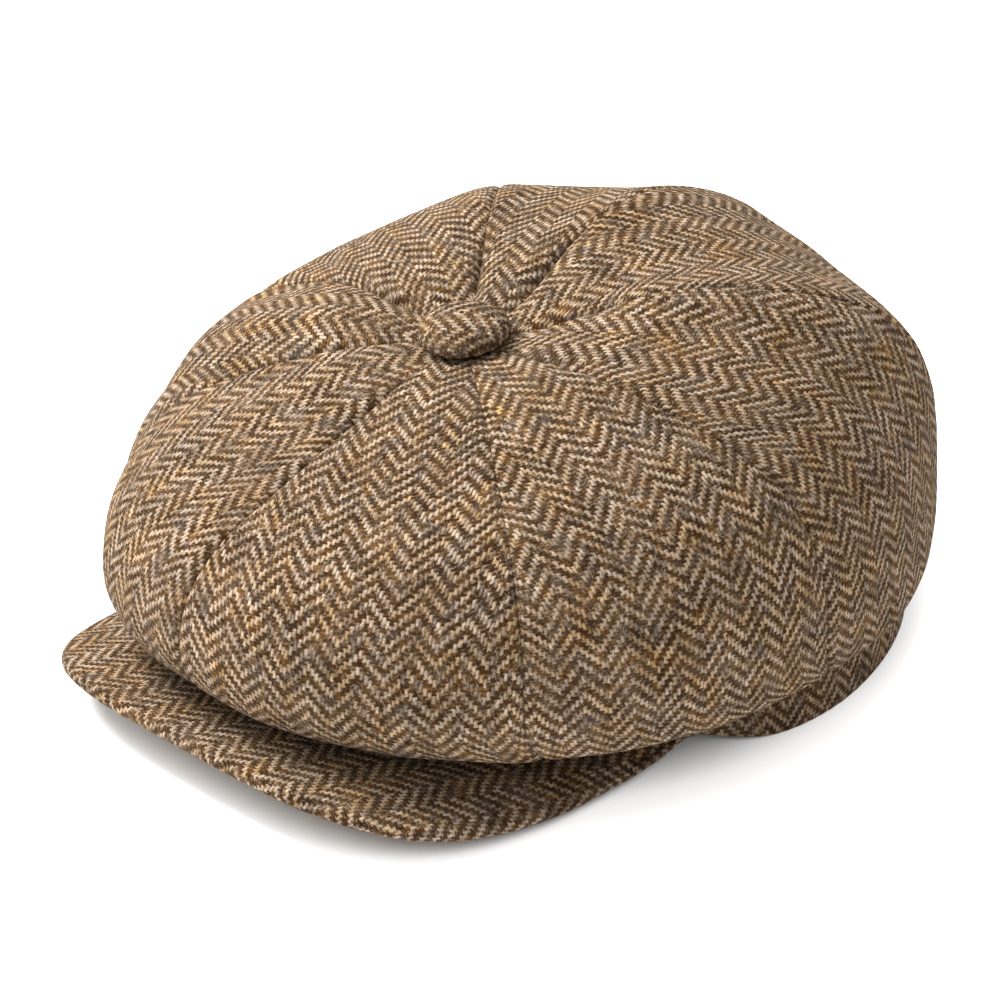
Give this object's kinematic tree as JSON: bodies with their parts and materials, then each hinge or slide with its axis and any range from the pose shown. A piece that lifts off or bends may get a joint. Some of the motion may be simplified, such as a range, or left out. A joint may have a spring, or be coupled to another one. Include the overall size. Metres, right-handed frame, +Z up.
{
  "type": "newsboy cap",
  "caption": "Tweed newsboy cap: a full panelled crown with a covered button over a band, with a short stiff peak that flexes at its seam.",
  "frame": {"origin": "middle of the bounding box in plan, on the plane that the band's lower edge stands on", "axes": "+Z up, the peak points to -Y, +X to the wearer's left"},
  "size_m": [0.226, 0.2656, 0.1202],
  "materials": {
    "tweed": "herringbone wool tweed, tan on dark brown with grey-blue and golden flecks, slightly hairy",
    "lining": "dark brown satin",
    "leather": "brown sweatband leather, fine grain",
    "buckram": "stiff woven interlining, undyed",
    "board": "off-white peak board, smooth",
    "tin": "pressed button parts",
    "thread": "waxed sewing thread"
  },
  "bodies": {
    "cap": {"crown_panel_1": "tweed", "crown_panel_2": "tweed", "crown_panel_3": "tweed", "crown_panel_4": "tweed", "crown_panel_5": "tweed", "crown_panel_6": "tweed", "crown_panel_7": "tweed", "crown_panel_8": "tweed", "lining_panel_1": "lining", "lining_panel_2": "lining", "lining_panel_3": "lining", "lining_panel_4": "lining", "lining_panel_5": "lining", "lining_panel_6": "lining", "lining_panel_7": "lining", "lining_panel_8": "lining", "outer_band": "tweed", "band_interlining": "buckram", "sweatband": "leather", "button_cover": "tweed", "button_shell": "tin", "button_back_plate": "tin", "button_wire_loop": "tin", "button_thread": "thread"},
    "peak": {"peak_board": "board", "peak_top_cover": "tweed", "peak_under_cover": "tweed"}
  },
  "joints": [
    {"name": "peak_flex", "type": "hinge", "parent": "cap", "child": "peak", "pos_m": [0, -0.0637, 0.012], "axis": [1, 0, 0], "range_deg": [-1, 15], "stiffness_Nm_per_rad": 1}
  ]
}
